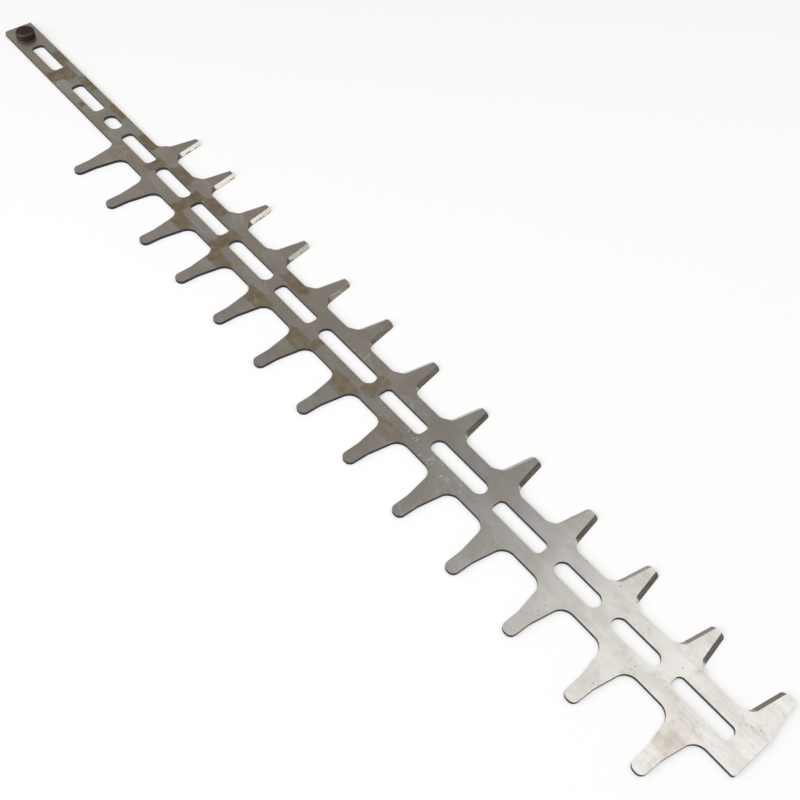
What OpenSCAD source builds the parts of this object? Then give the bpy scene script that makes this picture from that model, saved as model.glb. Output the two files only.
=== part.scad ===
// Double-sided hedge trimmer blade: one toothed steel sheet with a drive pin riveted into its shank.
// Origin on the pin's axis in the upper face of the sheet, +X towards the tip, +Y towards the cutting
// teeth, +Z out of the face that carries the pin. All sizes in millimetres.

/* [Sheet] */
// Thickness of the sheet
sheet_t = 1.8; // [1.4:0.1:4]
// Width of the toothed strip between the roots of its two rows of teeth
strip_w = 22; // [19:0.5:30]
// Width of the plain shank at the drive end
shank_w = 18.1; // [15:0.1:18.9]
// Distance from the drive pin's axis to the square end of the shank
shank_overhang = 11.8; // [9:0.1:20]
// Corner radius of the shank on the guard side
shank_guard_r = 2.5; // [0.5:0.1:5]
// Corner radius of the shank on the cutting side
shank_cut_r = 0.6; // [0.2:0.1:5]

/* [Tooth rows] */
// Number of teeth in each row
tooth_count = 13; // [3:1:16]
// Spacing of the teeth along the strip
pitch = 35; // [33:0.5:45]
// Distance from the drive pin's axis to the first guard tooth
first_guard_x = 132.8; // [125:0.1:160]
// Lead of each cutting tooth over the guard tooth opposite
cut_lead = 17.8; // [15:0.1:20]

/* [Guard teeth] */
// Length of a guard tooth beyond the edge of the strip
guard_len = 26.8; // [22:0.1:35]
// Width of a guard tooth where its flanks meet the edge of the strip
guard_root_w = 12.8; // [10:0.1:15]
// Distance from the edge of the strip to the knee where the finger begins
guard_knee_len = 16.4; // [12:0.1:18]
// Width of the finger at the knee
guard_knee_w = 6.9; // [6:0.1:9]
// Width of the finger at its tip
guard_tip_w = 6.4; // [6:0.1:8]
// Fillet radius at the root of a guard tooth
guard_root_r = 6.2; // [3:0.1:7]
// Blend radius at the knee
guard_knee_r = 9; // [3:0.5:15]
// Corner radius of the finger's tip
guard_tip_r = 2.9; // [1:0.1:2.9]

/* [Cutting teeth] */
// Length of a cutting tooth beyond the edge of the strip
cut_len = 19; // [14:0.1:24]
// Width of a cutting tooth where its flanks meet the edge of the strip
cut_root_w = 13.5; // [11:0.1:15]
// Width of a cutting tooth at its flat tip
cut_tip_w = 6.5; // [6:0.1:8]
// Fillet radius at the root of a cutting tooth
cut_root_r = 4.7; // [2:0.1:6]
// Corner radius of the flat tip
cut_tip_r = 1; // [0.3:0.1:1.5]
// Width in plan of the bevel ground on each flank
bevel_w = 1.9; // [1:0.1:2.5]
// Height of the square edge left under the bevel
edge_land = 0.25; // [0.1:0.05:0.6]
// Distance from the edge of the strip at which the grinding wheel lifts off the bevel
runout_y = 5.5; // [4.5:0.1:8]
// Radius of the wheel's run-out at the root of the bevel
runout_r = 6; // [3:0.5:10]

/* [Blade end] */
// Distance from the last cutting tooth to the end of the blade
end_len = 6.5; // [5.5:0.1:12]
// Distance of the end's knee beyond the edge of the strip
end_knee_y = 7.8; // [5:0.1:12]
// Distance of the end's knee from the last cutting tooth
end_knee_x = 4.6; // [4:0.1:5.2]
// Distance that the straight end stops short of the edge of the strip
end_shoulder = 0.5; // [0.5:0.1:4]
// Blend radius at the shoulder and at the knee of the end
end_blend_r = 14; // [2:1:20]
// Corner radius of the end on the guard side
end_corner_r = 1.4; // [0.5:0.1:5]

/* [Windows and guide slots] */
// Width of the square-cornered windows
window_w = 7.5; // [7.2:0.1:12]
// Corner radius of the windows
window_r = 2.6; // [0.5:0.1:3.6]
// Length of each window
window_len = 29.5; // [20:0.5:31]
// Length of the last window, next to the tip
tip_window_len = 29; // [20:0.5:31]
// Width of the round-ended guide slots and of the short hole in the shank
guide_w = 7.9; // [5:0.1:10]
// Length of the short round-ended hole in the shank
short_hole_len = 13.4; // [11:0.1:15]
// Length of the guide slot nearest the shank
guide_first_len = 29.4; // [20:0.1:31]
// Length of the two guide slots on either side of the longest one
guide_side_len = 34.4; // [20:0.1:36]
// Length of the longest guide slot
guide_long_len = 41.3; // [20:0.1:43]
// Length of the two guide slots near the tip
guide_tip_len = 24.6; // [18:0.1:26]
// Distance from the drive pin's axis to the first window
first_window_x = 13.7; // [10:0.1:16]
// Solid web between the two windows of the shank
shank_web = 20.7; // [10:0.1:21]
// Solid web on each side of the short hole
hole_web = 7.6; // [5:0.1:9]
// Solid web between the slots of the strip
slot_web = 7.1; // [5:0.1:8]
// Solid web between the slots near the tip
tip_web = 7.7; // [5:0.1:8]
// Least solid length beyond the last slot; slots that would leave less are left out
end_web = 5; // [3:0.5:9.5]

/* [Drive pin] */
// Diameter of the pin above the sheet
pin_d = 11.5; // [9:0.1:14]
// Height of the pin above the sheet
pin_h = 3.8; // [2.5:0.1:8]
// Chamfer around the pin's top
pin_chamfer = 0.55; // [0.2:0.05:1.5]
// Diameter of the pin's neck inside the sheet
neck_d = 8; // [6:0.1:8.5]
// Diameter of the riveted tail where it lies flush with the underside
rivet_d = 9.8; // [9:0.1:12]
// Depth of the countersink that the tail fills
rivet_depth = 0.9; // [0.4:0.05:1.2]
// Clearance between the pin and its hole, all round
rivet_gap = 0; // [0:0.01:0.1]

/* [Hidden] */
$fn = 64;
// How far a cutting shape passes beyond the surface that it cuts
over = 1;
// How far the shapes that round a corner pass beyond the edges that meet there
corner_margin = 0.5;
// Rounding arcs are this fraction larger than their radius, so that they cross the edges they meet
arc_bite = 0.00002;

half_strip = strip_w / 2;
half_shank = shank_w / 2;
first_cut_x = first_guard_x + cut_lead;
last_cut_x = first_cut_x + (tooth_count - 1) * pitch;
end_x = last_cut_x + end_len;
// Width of a cutting tooth halfway up its straight flanks
cut_mid_w = (cut_root_w + cut_tip_w) / 2;

// Lean of a cutting tooth's flank away from square, and slope of the bevel down from the upper face
flank_lean = atan((cut_root_w - cut_tip_w) / 2 / cut_len);
bevel_slope = atan((sheet_t - edge_land) / bevel_w);

// Slots along the centre line, in order from the drive end: [length, width, corner radius, web before it]
function window(len, web) = [len, window_w, window_r, web];
function guide(len, web) = [len, guide_w, guide_w / 2, web];
slots = [
    window(window_len, first_window_x),
    window(window_len, shank_web),
    guide(short_hole_len, hole_web),
    window(window_len, hole_web),
    guide(guide_first_len, slot_web),
    window(window_len, slot_web),
    guide(guide_side_len, slot_web),
    window(window_len, slot_web),
    guide(guide_long_len, slot_web),
    window(window_len, slot_web),
    guide(guide_side_len, slot_web),
    window(window_len, slot_web),
    guide(guide_tip_len, tip_web),
    guide(guide_tip_len, tip_web),
    window(tip_window_len, tip_web)
];
// Start of slot i, measured from the drive pin's axis
function slot_start(i) = slots[i][3] + (i == 0 ? 0 : slot_start(i - 1) + slots[i - 1][0]);

function unit(v) = v / norm(v);
// Half of the angle at b between the edges to a and c
function half_angle(a, b, c) = acos(unit(a - b) * unit(c - b)) / 2;
// Corner b rounded with radius r starts and ends this far from b
function setback(a, b, c, r) = r / tan(half_angle(a, b, c));
function arc_centre(a, b, c, r) =
    b + unit(unit(a - b) + unit(c - b)) * r / sin(half_angle(a, b, c));
function before(p, i) = p[(i + len(p) - 1) % len(p)];
function after(p, i) = p[(i + 1) % len(p)];
function is_convex(p, i) = cross(p[i] - before(p, i), after(p, i) - p[i]) > 0;

// The part of a rounding circle's disc between the two edges that meet at concave corner b
module fillet_disc(a, b, c, r) {
    centre = arc_centre(a, b, c, r) - b;
    reach = setback(a, b, c, r) + corner_margin;
    translate(b)
        intersection() {
            polygon([centre, unit(a - b) * reach, -corner_margin * unit(centre), unit(c - b) * reach]);
            translate(centre)
                circle(r * (1 + arc_bite));
        }
}

// The tip of convex corner b outside its rounding circle
module corner_tip(a, b, c, r) {
    centre = arc_centre(a, b, c, r) - b;
    spread = 1 + corner_margin / r;
    translate(b)
        difference() {
            polygon([
                centre,
                centre + (unit(a - b) * setback(a, b, c, r) - centre) * spread,
                centre - centre * spread,
                centre + (unit(c - b) * setback(a, b, c, r) - centre) * spread
            ]);
            translate(centre)
                circle(r * (1 + arc_bite));
        }
}

// Anticlockwise outline p with corner i rounded to radius r[i], as true arcs
module rounded(p, r) {
    difference() {
        // A concave corner is filled up to the chord between its tangent points
        polygon([for (i = [0:len(p) - 1])
            let (a = before(p, i), b = p[i], c = after(p, i))
                each r[i] == 0 || is_convex(p, i) ? [b] : [
                    b + unit(a - b) * setback(a, b, c, r[i]),
                    b + unit(c - b) * setback(a, b, c, r[i])
                ]]);
        for (i = [0:len(p) - 1])
            if (r[i] > 0 && is_convex(p, i))
                corner_tip(before(p, i), p[i], after(p, i), r[i]);
            else if (r[i] > 0)
                fillet_disc(before(p, i), p[i], after(p, i), r[i]);
    }
}

// Plan of the shank and the strip, without teeth and slots
module strip_plan() {
    rounded([
            [-shank_overhang, -half_shank],
            [first_guard_x, -half_shank],
            [first_guard_x, -half_strip],
            [end_x, -half_strip],
            [end_x, 0],
            [last_cut_x, 0],
            [last_cut_x, half_strip],
            [first_cut_x, half_strip],
            [first_cut_x, half_shank],
            [-shank_overhang, half_shank]
        ],
        [shank_guard_r, 0, 0, end_corner_r, 0, 0, 0, 0, 0, shank_cut_r]);
}

// Plan of one tooth that points along +Y from the edge of the strip at y = 0. Its left root sits lower
// by the amount drop, where the narrower shank meets the first tooth.
module tooth_plan(root_w, knee_w, knee_len, tip_w, length, root_r, knee_r, tip_r, drop) {
    flare = (root_w - knee_w) / 2 / knee_len;
    foot = root_w / 2 + root_r;
    left_root = root_w / 2 + flare * drop;
    rounded([
            [-foot, -half_strip],
            [foot, -half_strip],
            [foot, 0],
            [root_w / 2, 0],
            [knee_w / 2, knee_len],
            [tip_w / 2, length],
            [-tip_w / 2, length],
            [-knee_w / 2, knee_len],
            [-left_root, -drop],
            [-foot, -drop]
        ],
        [0, 0, 0, root_r, knee_r, tip_r, tip_r, knee_r, root_r, 0]);
}

module guard_tooth_plan(drop) {
    mirror([0, 1])
        tooth_plan(guard_root_w, guard_knee_w, guard_knee_len, guard_tip_w, guard_len,
            guard_root_r, guard_knee_r, guard_tip_r, drop);
}

module cut_tooth_plan(drop) {
    tooth_plan(cut_root_w, cut_mid_w, cut_len / 2, cut_tip_w, cut_len, cut_root_r, 0, cut_tip_r, drop);
}

// Plan of the last cutting tooth, whose outer flank runs into the end of the blade
module end_tooth_plan() {
    foot = cut_root_w / 2 + cut_root_r;
    rounded([
            [-foot, -half_strip],
            [end_len, -half_strip],
            [end_len, -end_shoulder],
            [end_knee_x, end_knee_y],
            [cut_tip_w / 2, cut_len],
            [-cut_tip_w / 2, cut_len],
            [-cut_root_w / 2, 0],
            [-foot, 0]
        ],
        [0, 0, end_blend_r, end_blend_r, cut_tip_r, cut_tip_r, cut_root_r, 0]);
}

module teeth_plan() {
    first_drop = half_strip - half_shank;
    for (i = [0:tooth_count - 1])
        translate([first_guard_x + i * pitch, -half_strip])
            guard_tooth_plan(i == 0 ? first_drop : 0);
    for (i = [0:tooth_count - 2])
        translate([first_cut_x + i * pitch, half_strip])
            cut_tooth_plan(i == 0 ? first_drop : 0);
    translate([last_cut_x, half_strip])
        end_tooth_plan();
}

// Plan of a slot that starts at x = 0
module slot_plan(length, width, corner_r) {
    for (x = [corner_r, length - corner_r], y = [-1, 1])
        translate([x, y * (width / 2 - corner_r)])
            circle(corner_r);
    translate([corner_r, -width / 2])
        square([length - 2 * corner_r, width]);
    if (width > 2 * corner_r)
        translate([0, corner_r - width / 2])
            square([length, width - 2 * corner_r]);
}

module slots_plan() {
    for (i = [0:len(slots) - 1])
        if (slot_start(i) + slots[i][0] <= end_x - end_web)
            translate([slot_start(i), 0])
                slot_plan(slots[i][0], slots[i][1], slots[i][2]);
}

// Space that the grinding wheel clears on the right flank of a cutting tooth: everything above the
// sloping bevel, ending at the root in the wheel's own radius
module bevel_cut() {
    reach = bevel_w / cos(bevel_slope) + over;
    width = reach + sheet_t + over;
    flank_len = cut_len / cos(flank_lean);
    start = runout_y / cos(flank_lean);
    translate([cut_root_w / 2, 0, edge_land - sheet_t])
        rotate([0, 0, flank_lean])
            rotate([0, bevel_slope, 0])
                translate([-reach, start, 0]) {
                    cube([width, flank_len - start + over, runout_r]);
                    translate([0, 0, runout_r])
                        rotate([0, 90, 0])
                            cylinder(h = width, r = runout_r);
                }
}

module bevels() {
    for (i = [0:tooth_count - 1])
        translate([first_cut_x + i * pitch, half_strip, 0]) {
            mirror([1, 0, 0])
                bevel_cut();
            if (i < tooth_count - 1)
                bevel_cut();
        }
}

// Hole for the pin's neck, countersunk in the underside; gap is the clearance all round
module pin_bore(gap) {
    translate([0, 0, -sheet_t - over])
        cylinder(h = sheet_t + 2 * over, d = neck_d + 2 * gap);
    flare = (rivet_d - neck_d) / 2 / rivet_depth;
    translate([0, 0, -sheet_t - over])
        cylinder(h = over + rivet_depth, d1 = rivet_d + 2 * gap + 2 * flare * over, d2 = neck_d + 2 * gap);
}

module blade() {
    color("#8f8b84")
        difference() {
            translate([0, 0, -sheet_t])
                linear_extrude(sheet_t)
                    difference() {
                        union() {
                            strip_plan();
                            teeth_plan();
                        }
                        slots_plan();
                    }
            bevels();
            pin_bore(rivet_gap);
        }
}

// Turned pin: chamfered head above the sheet, neck through it, tail spread into the countersink
module drive_pin() {
    color("#352f2e")
        rotate_extrude()
            polygon([
                [0, -sheet_t],
                [rivet_d / 2, -sheet_t],
                [neck_d / 2, rivet_depth - sheet_t],
                [neck_d / 2, 0],
                [pin_d / 2, 0],
                [pin_d / 2, pin_h - pin_chamfer],
                [pin_d / 2 - pin_chamfer, pin_h],
                [0, pin_h]
            ]);
}

blade();
drive_pin();
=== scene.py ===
import bpy
import math
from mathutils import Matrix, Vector


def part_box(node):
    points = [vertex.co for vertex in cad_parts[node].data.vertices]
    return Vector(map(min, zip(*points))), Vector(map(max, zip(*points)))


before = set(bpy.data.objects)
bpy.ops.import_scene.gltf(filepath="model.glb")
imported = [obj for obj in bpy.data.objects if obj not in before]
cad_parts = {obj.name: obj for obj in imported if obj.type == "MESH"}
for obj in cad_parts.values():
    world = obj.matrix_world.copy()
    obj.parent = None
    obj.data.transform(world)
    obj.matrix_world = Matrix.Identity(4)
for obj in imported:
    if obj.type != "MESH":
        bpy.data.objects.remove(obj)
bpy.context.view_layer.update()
print("packed blade loaded")


def hexColour(code):
    # an sRGB hex colour as the linear values that Blender's sockets take
    channels = [int(code[i:i + 2], 16) / 255 for i in (1, 3, 5)]
    linear = [c / 12.92 if c <= 0.04045 else ((c + 0.055) / 1.055) ** 2.4 for c in channels]
    return (*linear, 1.0)


def addNode(tree, kind, settings=None, **inputs):
    # in0, in1 ... are sockets by number, other words sockets by name. An input may be a value, a hex
    # colour, a socket, or a node, which stands for its first live output
    node = tree.nodes.new("ShaderNode" + kind)
    for key, value in (settings or {}).items():
        setattr(node, key, value)
    for key, value in inputs.items():
        socket = node.inputs[int(key[2:]) if key[2:].isdigit() else key.replace("_", " ")]
        if isinstance(value, bpy.types.Node):
            value = next(output for output in value.outputs if output.enabled)
        if isinstance(value, bpy.types.NodeSocket):
            tree.links.new(value, socket)
        else:
            socket.default_value = hexColour(value) if isinstance(value, str) else value
    return node


# Settings that many nodes share
minus = {"operation": "SUBTRACT"}
times = {"operation": "MULTIPLY"}
over = {"operation": "DIVIDE"}
timesPlus = {"operation": "MULTIPLY_ADD"}
larger = {"operation": "MAXIMUM"}
smaller = {"operation": "MINIMUM"}
softStep = {"interpolation_type": "SMOOTHSTEP"}
colourMix = {"data_type": "RGBA"}


def newMaterial(name):
    material = bpy.data.materials.new(name)
    material.use_nodes = True
    material.node_tree.nodes.clear()
    return material, material.node_tree


def useMaterial(node, material):
    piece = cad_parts[node]
    if not piece.data.materials:
        piece.data.materials.append(material)
    for slot in piece.material_slots:
        slot.material = material


def deselectAll():
    for thing in bpy.context.selected_objects:
        thing.select_set(False)


# The camera stands above the tip end and looks back along the blade
cameraSettings = {
    "place": (0.58829, -0.19136, 0.38042),
    "turnDegrees": (37.7066, -1.6174, 50.8231),
    "lens": 46.672,  # mm
    "sensorWidth": 36,  # mm
}

deselectAll()
bpy.ops.object.camera_add(
    location=cameraSettings["place"],
    rotation=[math.radians(angle) for angle in cameraSettings["turnDegrees"]])
camera = bpy.context.object
camera.name = "camera"
camera.data.lens = cameraSettings["lens"]
camera.data.sensor_width = cameraSettings["sensorWidth"]
camera.data.clip_start = 0.01
camera.data.clip_end = 20
bpy.context.scene.camera = camera
print("camera set")


# Three softboxes in a dim studio. The tip end mirrors the one overhead, and the first ground flanks
# mirror the one beside it. No face mirrors the one in front, which fills the shadows
lightSettings = {
    # name: place, point it is aimed at, length and width in metres, power in watts
    "overheadSoftbox": ((0.50, 0.42, 1.0), (0.50, 0.42, 0.0), (0.60, 1.05), 2.75),
    "sideSoftbox": ((0.90, 0.62, 1.0), (0.90, 0.62, 0.0), (0.20, 0.65), 1.0),
    "frontSoftbox": ((0.10, -1.10, 0.75), (0.30, 0.0, 0.0), (1.60, 1.00), 12.0),
    "wallBehindDriveEnd": "#aca6a0",
    "wallBeyondTip": "#75716d",
    "wallTurn": (-0.78, -0.10),  # X of the directions between which one wall's tone turns into the other's
}


def addSoftbox(name):
    place, aim, size, watts = lightSettings[name]
    deselectAll()
    bpy.ops.object.light_add(type="AREA", location=place)
    lamp = bpy.context.object
    lamp.name = name
    lamp.data.shape = "RECTANGLE"
    lamp.data.size, lamp.data.size_y = size
    lamp.data.energy = watts
    lamp.rotation_euler = (Vector(aim) - Vector(place)).to_track_quat("-Z", "Y").to_euler()


def studioWalls():
    world = bpy.data.worlds.new("studio")
    world.use_nodes = True
    tree = world.node_tree
    tree.nodes.clear()
    direction = addNode(tree, "TexCoord")
    towardsTip = addNode(tree, "SeparateXYZ", in0=direction.outputs["Generated"])
    low, high = lightSettings["wallTurn"]
    turn = addNode(tree, "MapRange", in0=towardsTip.outputs["X"], in1=low, in2=high)
    tone = addNode(tree, "Mix", colourMix, in0=turn,
                   in6=lightSettings["wallBehindDriveEnd"], in7=lightSettings["wallBeyondTip"])
    walls = addNode(tree, "Background", Color=tone, Strength=1.0)
    addNode(tree, "OutputWorld", Surface=walls)
    return world


for name in ("overheadSoftbox", "sideSoftbox", "frontSoftbox"):
    addSoftbox(name)
bpy.context.scene.world = studioWalls()
bpy.context.scene.view_settings.view_transform = "Standard"
print("lights set")


floorSettings = {
    "size": 8.0,
    "middle": (0.3, 0.0),
    "paint": "#e2e3e5",
    "whiteLift": 0.45,  # added for the camera and for reflections, so that the pale floor shows white
}


def mattWhitePaint():
    # White emulsion rolled on board: matt and even, with nothing on it but the blade's soft shadow
    material, tree = newMaterial("mattWhitePaint")
    rays = addNode(tree, "LightPath")
    seen = addNode(tree, "Math", larger, in0=rays.outputs["Is Camera Ray"], in1=rays.outputs["Is Glossy Ray"])
    seen = addNode(tree, "Math", larger, in0=seen, in1=rays.outputs["Is Transmission Ray"])
    lift = addNode(tree, "Math", times, in0=seen, in1=floorSettings["whiteLift"])
    paint = addNode(tree, "BsdfDiffuse", Color=floorSettings["paint"])
    glow = addNode(tree, "Emission", Color="#ffffff", Strength=lift)
    both = addNode(tree, "AddShader", in0=paint, in1=glow)
    addNode(tree, "OutputMaterial", Surface=both)
    return material


deselectAll()
bladeLow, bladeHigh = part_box("blade")
bpy.ops.mesh.primitive_plane_add(size=floorSettings["size"], location=(*floorSettings["middle"], bladeLow.z))
floor = bpy.context.object
floor.name = "floor"
bpy.ops.object.transform_apply(location=True, rotation=True, scale=True)
floor.data.materials.append(mattWhitePaint())
print("floor set")


bladeSettings = {
    "cleanSteel": "#c7c3be",
    "bareSteel": "#d4d2cf",
    # the walls' nearly black colour is partly the sheared edge's oxide and partly painted shade, a dark reflection put
    # in place of the pale floor they would mirror
    "wall": "#3d4145",
    "flank": "#bdb7ae",
    "flankStreak": "#d6d1c9",
    # layer: its colour and how strongly it covers what is under it
    "film": ("#aea08c", 0.40),
    "stain": ("#9b8963", 0.85),
    "tideLine": ("#7f6d4c", 0.40),
    "grainShade": ("#8a847d", 0.08),
    "smudge": ("#8f8477", 0.38),
    "speck": ("#5d4b3d", 0.75),
    "scratch": ("#eeedeb", 0.70),
    "wallScuff": ("#565b60", 0.50),
    # a lighter band along the walls' upper edge: partly wear, partly a painted highlight where the slightly rounded
    # edge would catch the light
    "edgeWearAndHighlight": ("#8b8781", 0.45),
    # painted shade: the flanks that face the drive end are darkened towards the tip, standing in for the dim floor they
    # would mirror
    "flankPaintedShade": ("#857f78", 0.72),
    "flankRust": ("#6a5238", 0.75),
    "faceRoughness": 0.30,
    "flankRoughness": 0.20,
    "wallRoughness": 0.55,
    # sizes of the patterns, in mm along the blade, across it and through it
    "grainSize": (40.0, 0.7, 5.0),  # the real grit lines are about 0.1 wide, too fine to show
    "scratchSize": (28.0, 0.5, 10.0),  # real ones are about 0.1 wide, too fine to show
    "scratchTurns": (0.5, -0.9, 1.35),  # radians from the blade's length
    "scratchFieldSize": 40.0,
    "rubMarkSize": (0.9, 3.6, 10.0),
    "cloudSize": (20.0, 11.0, 10.0),
    "blotchSize": 5.3,
    "stainEdgeSize": 4.5,
    "speckSpacing": 1.7,
    "clusterSize": (17.0, 11.0, 10.0),
    "smudgeSize": 6.0,
    "shearMarkSize": (0.9, 0.9, 6.7),
    "wheelMarkSize": (0.6, 20.0, 1.1),  # the real grit lines are about 0.1 wide, too fine to show
    "rustSize": 2.4,
    # places, in mm in the blade's frame
    "toothLine": -17.1,  # the film ends here in a straight line across the guard teeth
    "filmEnd": (430, 250),  # along the blade, from bare to fully filmed
    "stainEnd": (430, 350),  # along the blade, from faint to full stains
    "smudgeStart": (470, 545),  # along the blade, from clean to fully smudged
    # painted shade on the flanks that face the drive end, growing towards the tip
    "flankShadeStart": (330, 500),  # along the blade, on the flanks that trail
    "rustStart": (-1.05, -1.5),  # down the flanks, from clean to rusty
    "edgeDepth": (-0.32, -0.05),  # down the walls, the worn upper edge with its painted highlight
    "bump": 0.00004,  # metres
}

# Brown stains dried on the face, each as middle x and y, half length and half width in mm
stainPatches = [
    (35, 7.0, 9.5, 2.8), (50, 0.5, 6.8, 8.5), (66, 6.8, 9, 2.8), (47.5, -6.5, 5, 3),
    (101, 7.2, 8, 2.1), (82, -5.8, 4.2, 1.5), (136, 7.2, 8, 3.2), (171.5, 7.2, 9.5, 3.4),
    (155.2, 0.5, 4.2, 6), (191.6, -1, 4.4, 11), (198, -13, 11, 4.3), (204.7, 7.2, 8.4, 3),
    (228.8, -2, 4.4, 9.5), (237.5, -13, 10, 4.2), (276, 8, 10, 3), (272.8, -13, 9, 4.2),
    (307.8, -13, 9, 4.2), (316, -7, 2.8, 4), (342.8, -13, 9, 4.2), (354, -1, 4.4, 7),
    (377.8, -13, 9, 4.0), (553, -20, 7.4, 5.4),
]

# Pale patches where the twin blade rubbed the film away, in the same form
rubbedPatches = [
    (49.3, 8.4, 9.7, 2.9), (66.5, -5.6, 13, 4.2), (90, -2, 6, 6), (118, 1, 7, 9), (153.4, 9.8, 10.6, 4.6),
    (172.8, -5.7, 15.6, 3.8), (188, 11, 9, 4.4), (210.9, -6.4, 14.4, 2.9), (223, 9.8, 10.3, 4.6),
    (253.4, -6, 20.6, 3.7), (258, 9.8, 10.3, 4.4),
]

# Where knocks left short pale rub marks, in the same form
knockedPatches = [(402, -9, 26, 12)]


def patchField(tree, place, patches):
    # below 1 inside the patches: each one is a superellipse, a rectangle with well rounded corners
    nearest = None
    for x, y, halfLength, halfWidth in patches:
        local = addNode(tree, "VectorMath", timesPlus, in0=place,
                        in1=(1 / halfLength, 1 / halfWidth, 0), in2=(-x / halfLength, -y / halfWidth, 0))
        squared = addNode(tree, "VectorMath", times, in0=local, in1=local)
        reach = addNode(tree, "VectorMath", {"operation": "DOT_PRODUCT"}, in0=squared, in1=squared)
        nearest = reach if nearest is None else addNode(tree, "Math", smaller, in0=nearest, in1=reach)
    return addNode(tree, "Math", {"operation": "POWER"}, in0=nearest, in1=0.25)


def groundSpringSteel():
    # Carbon spring steel sheet, hardened, its faces ground lengthwise, its outline sheared and its cutting
    # flanks ground at a slant. The eye gets satin faces with a fine lengthwise grain, nearly black walls, partly
    # oxide and partly painted shade, and brighter flanks, with dried oil and rust on the half that was never wiped
    s = bladeSettings
    material, tree = newMaterial("groundSpringSteel")
    coords = addNode(tree, "TexCoord")
    place = addNode(tree, "VectorMath", {"operation": "SCALE"}, in0=coords.outputs["Object"], Scale=1000.0)  # mm
    axes = addNode(tree, "SeparateXYZ", in0=place)
    along, across, height = axes.outputs

    # which surface it is, from how far it faces up or down
    normal = addNode(tree, "SeparateXYZ", in0=coords.outputs["Normal"])
    level = addNode(tree, "Math", {"operation": "ABSOLUTE"}, in0=normal.outputs["Z"])
    face = addNode(tree, "MapRange", softStep, in0=level, in1=0.90, in2=0.96)
    wall = addNode(tree, "MapRange", softStep, in0=level, in1=0.55, in2=0.35)
    flank = addNode(tree, "Math", minus, in0=addNode(tree, "Math", minus, in0=1.0, in1=face), in1=wall)

    # two shaken copies of the place give the stains ragged edges and the rubbed patches soft ones
    shake = addNode(tree, "TexNoise", Vector=place, Scale=1 / s["stainEdgeSize"], Detail=5.0, Roughness=0.6)
    shake = addNode(tree, "VectorMath", minus, in0=shake.outputs["Color"], in1=(0.5, 0.5, 0.5))
    ragged = addNode(tree, "VectorMath", timesPlus, in0=shake, in1=(5.0, 3.2, 0), in2=place)
    soft = addNode(tree, "VectorMath", timesPlus, in0=shake, in1=(1.6, 1.0, 0), in2=place)

    grain = addNode(tree, "VectorMath", over, in0=place, in1=s["grainSize"])
    grain = addNode(tree, "TexNoise", Vector=grain, Scale=1.0, Detail=3.0, Roughness=0.6)
    cloud = addNode(tree, "VectorMath", over, in0=place, in1=s["cloudSize"])
    cloud = addNode(tree, "TexNoise", Vector=cloud, Scale=1.0, Detail=5.0, Roughness=0.62)
    blotch = addNode(tree, "TexNoise", Vector=place, Scale=1 / s["blotchSize"], Detail=4.0, Roughness=0.6)

    # the film of dried oil: cloudy, fading towards the tip, gone where the twin blade rubbed
    rubbed = addNode(tree, "MapRange", softStep, in0=patchField(tree, soft, rubbedPatches), in1=0.94, in2=1.06)
    unwiped = addNode(tree, "MapRange", softStep, in0=along, in1=s["filmEnd"][0], in2=s["filmEnd"][1])
    onStrip = addNode(tree, "Math", minus, in0=across, in1=s["toothLine"])
    onStrip = addNode(tree, "MapRange", softStep, in0=onStrip, in1=-0.4, in2=0.4)
    film = addNode(tree, "MapRange", softStep, in0=cloud, in1=0.36, in2=0.62, in3=0.35, in4=1.0)
    for share in (unwiped, rubbed, onStrip):
        film = addNode(tree, "Math", times, in0=film, in1=share)

    # stains, each with a darker tide line
    stainReach = patchField(tree, ragged, stainPatches)
    stainCloud = addNode(tree, "MapRange", softStep, in0=blotch, in1=0.30, in2=0.66, in3=0.40, in4=1.0)
    stainFade = addNode(tree, "MapRange", softStep, in0=along, in1=s["stainEnd"][0], in2=s["stainEnd"][1],
                        in3=0.30, in4=1.0)
    stainFilm = addNode(tree, "MapRange", softStep, in0=stainReach, in1=1.12, in2=0.84)
    tide = addNode(tree, "MapRange", softStep, in0=stainReach, in1=0.84, in2=1.02)
    tide = addNode(tree, "Math", times, in0=tide, in1=stainFilm)
    stain = addNode(tree, "Math", times, in0=stainFilm, in1=stainCloud)
    for share in (rubbed, stainFade):
        stain = addNode(tree, "Math", times, in0=stain, in1=share)
        tide = addNode(tree, "Math", times, in0=tide, in1=share)

    # rust specks and small pits in loose clusters
    cells = addNode(tree, "TexVoronoi", {"feature": "F1"}, Vector=place, Scale=1 / s["speckSpacing"])
    pick = addNode(tree, "SeparateXYZ", in0=cells.outputs["Color"])
    cluster = addNode(tree, "VectorMath", over, in0=place, in1=s["clusterSize"])
    cluster = addNode(tree, "TexNoise", Vector=cluster, Scale=1.0, Detail=3.0, Roughness=0.6)
    speck = addNode(tree, "MapRange", softStep, in0=cells.outputs["Distance"], in1=0.26, in2=0.10)
    for share in (addNode(tree, "MapRange", softStep, in0=pick.outputs["X"], in1=0.42, in2=0.50),
                  addNode(tree, "MapRange", softStep, in0=cluster, in1=0.46, in2=0.64)):
        speck = addNode(tree, "Math", times, in0=speck, in1=share)

    # brown smudges that fingers left near the tip
    smudge = addNode(tree, "TexNoise", Vector=place, Scale=1 / s["smudgeSize"], Detail=9.0, Roughness=0.74)
    smudge = addNode(tree, "MapRange", softStep, in0=smudge, in1=0.49, in2=0.68)
    nearTip = addNode(tree, "MapRange", softStep, in0=along, in1=s["smudgeStart"][0], in2=s["smudgeStart"][1])
    smudge = addNode(tree, "Math", times, in0=smudge, in1=nearTip)

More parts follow.
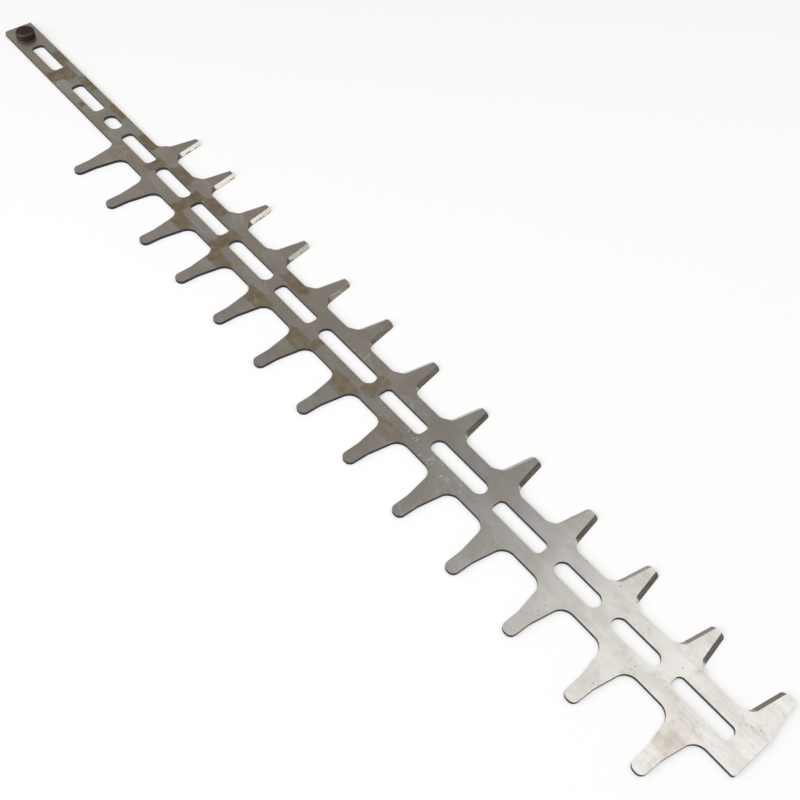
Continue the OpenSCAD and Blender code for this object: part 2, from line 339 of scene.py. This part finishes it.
    # stray scratches in three directions, thicker where the blade was knocked
    scratches = 0.0
    for turn in s["scratchTurns"]:
        turned = addNode(tree, "VectorRotate", {"rotation_type": "Z_AXIS"}, in0=place, Angle=turn)
        turned = addNode(tree, "VectorMath", over, in0=turned, in1=s["scratchSize"])
        line = addNode(tree, "TexNoise", Vector=turned, Scale=1.0, Detail=1.0, Roughness=0.4)
        line = addNode(tree, "MapRange", softStep, in0=line, in1=0.69, in2=0.74)
        scratches = addNode(tree, "Math", larger, in0=scratches, in1=line)
    scratched = addNode(tree, "TexNoise", Vector=place, Scale=1 / s["scratchFieldSize"], Detail=2.0)
    scratched = addNode(tree, "MapRange", softStep, in0=scratched, in1=0.46, in2=0.60)
    scratches = addNode(tree, "Math", times, in0=scratches, in1=scratched)
    knocked = addNode(tree, "MapRange", softStep, in0=patchField(tree, soft, knockedPatches), in1=1.1, in2=0.6)
    rubMarks = addNode(tree, "VectorMath", over, in0=place, in1=s["rubMarkSize"])
    rubMarks = addNode(tree, "TexNoise", Vector=rubMarks, Scale=1.0, Detail=2.0)
    rubMarks = addNode(tree, "MapRange", softStep, in0=rubMarks, in1=0.62, in2=0.69)
    rubMarks = addNode(tree, "Math", times, in0=rubMarks, in1=knocked)
    scratches = addNode(tree, "Math", larger, in0=scratches, in1=rubMarks)

    # marks of the shears on the walls, and of the grinding wheel along the flanks
    shear = addNode(tree, "VectorMath", over, in0=place, in1=s["shearMarkSize"])
    shear = addNode(tree, "TexNoise", Vector=shear, Scale=1.0, Detail=2.0, Roughness=0.6)
    wheel = addNode(tree, "VectorMath", over, in0=place, in1=s["wheelMarkSize"])
    wheel = addNode(tree, "TexNoise", Vector=wheel, Scale=1.0, Detail=2.0)
    rust = addNode(tree, "TexNoise", Vector=place, Scale=1 / s["rustSize"], Detail=4.0, Roughness=0.65)
    rust = addNode(tree, "MapRange", softStep, in0=rust, in1=0.53, in2=0.62)
    lowEdge = addNode(tree, "MapRange", softStep, in0=height, in1=s["rustStart"][0], in2=s["rustStart"][1])
    rust = addNode(tree, "Math", times, in0=rust, in1=lowEdge)
    # the walls' upper edge, lightened: partly wear, partly a painted highlight
    upperEdge = addNode(tree, "MapRange", softStep, in0=height, in1=s["edgeDepth"][0], in2=s["edgeDepth"][1])

    # each surface gets its ground tone, and then its layers one over the other
    faceTone = addNode(tree, "MapRange", softStep, in0=cloud, in1=0.38, in2=0.64)
    faceColour = addNode(tree, "Mix", colourMix, in0=faceTone, in6=s["cleanSteel"], in7=s["bareSteel"])
    grainTone = addNode(tree, "MapRange", softStep, in0=grain, in1=0.35, in2=0.65)
    for layer, mask in (("film", film), ("stain", stain), ("tideLine", tide), ("grainShade", grainTone),
                        ("smudge", smudge), ("speck", speck), ("scratch", scratches)):
        tone, strength = s[layer]
        amount = addNode(tree, "Math", times, in0=mask, in1=strength)
        faceColour = addNode(tree, "Mix", colourMix, in0=amount, in6=faceColour, in7=tone)
    # the walls' dark ground colour: partly oxide, partly painted shade
    wallColour = s["wall"]
    shearTone = addNode(tree, "MapRange", softStep, in0=shear, in1=0.35, in2=0.70)
    for layer, mask in (("wallScuff", shearTone), ("edgeWearAndHighlight", upperEdge)):
        tone, strength = s[layer]
        amount = addNode(tree, "Math", times, in0=mask, in1=strength)
        wallColour = addNode(tree, "Mix", colourMix, in0=amount, in6=wallColour, in7=tone)
    wheelTone = addNode(tree, "MapRange", softStep, in0=wheel, in1=0.35, in2=0.68)
    flankColour = addNode(tree, "Mix", colourMix, in0=wheelTone, in6=s["flank"], in7=s["flankStreak"])
    # painted shade: flanks facing the drive end get darker towards the tip, in place of a dim reflection of the floor
    trailing = addNode(tree, "MapRange", softStep, in0=normal.outputs["X"], in1=-0.2, in2=-0.4)
    paintedFlankShade = addNode(tree, "MapRange", softStep, in0=along, in1=s["flankShadeStart"][0], in2=s["flankShadeStart"][1])
    paintedFlankShade = addNode(tree, "Math", times, in0=paintedFlankShade, in1=trailing)
    for layer, mask in (("flankPaintedShade", paintedFlankShade), ("flankRust", rust)):
        tone, strength = s[layer]
        amount = addNode(tree, "Math", times, in0=mask, in1=strength)
        flankColour = addNode(tree, "Mix", colourMix, in0=amount, in6=flankColour, in7=tone)
    colour = addNode(tree, "Mix", colourMix, in0=wall, in6=faceColour, in7=wallColour)
    colour = addNode(tree, "Mix", colourMix, in0=flank, in6=colour, in7=flankColour)

    # film, stains and scratches scatter the light more than the ground face does
    rough = addNode(tree, "MapRange", in0=grain, in1=0.3, in2=0.7,
                    in3=s["faceRoughness"] - 0.02, in4=s["faceRoughness"] + 0.03)
    rough = addNode(tree, "Math", timesPlus, in0=film, in1=0.10, in2=rough)
    rough = addNode(tree, "Math", timesPlus, in0=stain, in1=0.14, in2=rough)
    rough = addNode(tree, "Math", timesPlus, in0=scratches, in1=0.25, in2=rough)
    rough = addNode(tree, "Mix", in0=wall, in2=rough, in3=s["wallRoughness"])
    flankRough = addNode(tree, "MapRange", in0=wheel, in1=0.3, in2=0.7,
                         in3=s["flankRoughness"], in4=s["flankRoughness"] + 0.08)
    flankRough = addNode(tree, "Math", timesPlus, in0=rust, in1=0.3, in2=flankRough)
    rough = addNode(tree, "Mix", in0=flank, in2=rough, in3=flankRough)

    # grain, wheel marks and shear marks stand out a little, pits go in
    relief = addNode(tree, "Math", times, in0=shear, in1=wall)
    for mask, mark, depth in ((face, grain, 0.15), (flank, wheel, 0.12), (face, speck, -1.5)):
        mark = addNode(tree, "Math", times, in0=mask, in1=mark)
        relief = addNode(tree, "Math", timesPlus, in0=mark, in1=depth, in2=relief)
    bump = addNode(tree, "Bump", Strength=0.25, Distance=s["bump"], Height=relief)

    steel = addNode(tree, "BsdfPrincipled", Base_Color=colour, Metallic=1.0, Roughness=rough, Normal=bump)
    addNode(tree, "OutputMaterial", Surface=steel)
    return material


useMaterial("blade", groundSpringSteel())
print("blade has its steel")


pinSettings = {
    "quenched": "#3e3735",
    "quenchedPale": "#4f4845",
    "turningLine": "#5e5754",
    # painted highlight: the chamfered rim is painted paler all round
    "rimHighlight": "#6e655f",
    "rust": "#4a3428",
    "roughness": 0.5,
    "metallic": 0.85,  # below 1 for the oxide
    "turningPitch": 0.45,  # mm; the real feed is about 0.1, too fine to show
    "rustTop": 1.2,  # mm above the sheet
    "bump": 0.00004,  # metres
}


def quenchedPinSteel():
    # Turned steel, hardened and left black from the oil quench. The eye gets a nearly black brown with a
    # soft sheen, faint turning rings on top and a paler rim, a painted highlight all round the chamfer
    s = pinSettings
    material, tree = newMaterial("quenchedPinSteel")
    coords = addNode(tree, "TexCoord")
    place = addNode(tree, "VectorMath", {"operation": "SCALE"}, in0=coords.outputs["Object"], Scale=1000.0)  # mm
    flatPlace = addNode(tree, "VectorMath", times, in0=place, in1=(1, 1, 0))
    radius = addNode(tree, "VectorMath", {"operation": "LENGTH"}, in0=flatPlace)
    height = addNode(tree, "SeparateXYZ", in0=place).outputs["Z"]
    up = addNode(tree, "SeparateXYZ", in0=coords.outputs["Normal"]).outputs["Z"]
    top = addNode(tree, "MapRange", softStep, in0=up, in1=0.88, in2=0.97)
    # the chamfer, which gets the painted highlight
    rim = addNode(tree, "MapRange", softStep, in0=up, in1=0.3, in2=0.5)
    rim = addNode(tree, "Math", minus, in0=rim, in1=top)

    cloud = addNode(tree, "TexNoise", Vector=place, Scale=0.35, Detail=4.0, Roughness=0.65)
    rings = addNode(tree, "TexNoise", {"noise_dimensions": "1D"}, W=radius, Scale=1 / s["turningPitch"], Detail=2.0)
    ringTone = addNode(tree, "MapRange", softStep, in0=rings, in1=0.40, in2=0.65)
    ringTone = addNode(tree, "Math", times, in0=ringTone, in1=top)
    lowDown = addNode(tree, "MapRange", softStep, in0=height, in1=s["rustTop"], in2=0.2)
    rust = addNode(tree, "MapRange", softStep, in0=cloud, in1=0.45, in2=0.60)
    rust = addNode(tree, "Math", times, in0=rust, in1=lowDown)

    tone = addNode(tree, "MapRange", softStep, in0=cloud, in1=0.35, in2=0.68)
    colour = addNode(tree, "Mix", colourMix, in0=tone, in6=s["quenched"], in7=s["quenchedPale"])
    for mask, strength, tone in ((ringTone, 0.35, s["turningLine"]), (rim, 0.7, s["rimHighlight"]), (rust, 0.6, s["rust"])):
        amount = addNode(tree, "Math", times, in0=mask, in1=strength)
        colour = addNode(tree, "Mix", colourMix, in0=amount, in6=colour, in7=tone)
    rough = addNode(tree, "MapRange", in0=cloud, in1=0.3, in2=0.7, in3=s["roughness"] - 0.06, in4=s["roughness"] + 0.12)
    relief = addNode(tree, "Math", timesPlus, in0=ringTone, in1=0.5, in2=cloud)
    bump = addNode(tree, "Bump", Strength=0.3, Distance=s["bump"], Height=relief)

    steel = addNode(tree, "BsdfPrincipled", Base_Color=colour, Metallic=s["metallic"], Roughness=rough, Normal=bump)
    addNode(tree, "OutputMaterial", Surface=steel)
    return material


useMaterial("drive_pin", quenchedPinSteel())
print("drive pin has its steel")
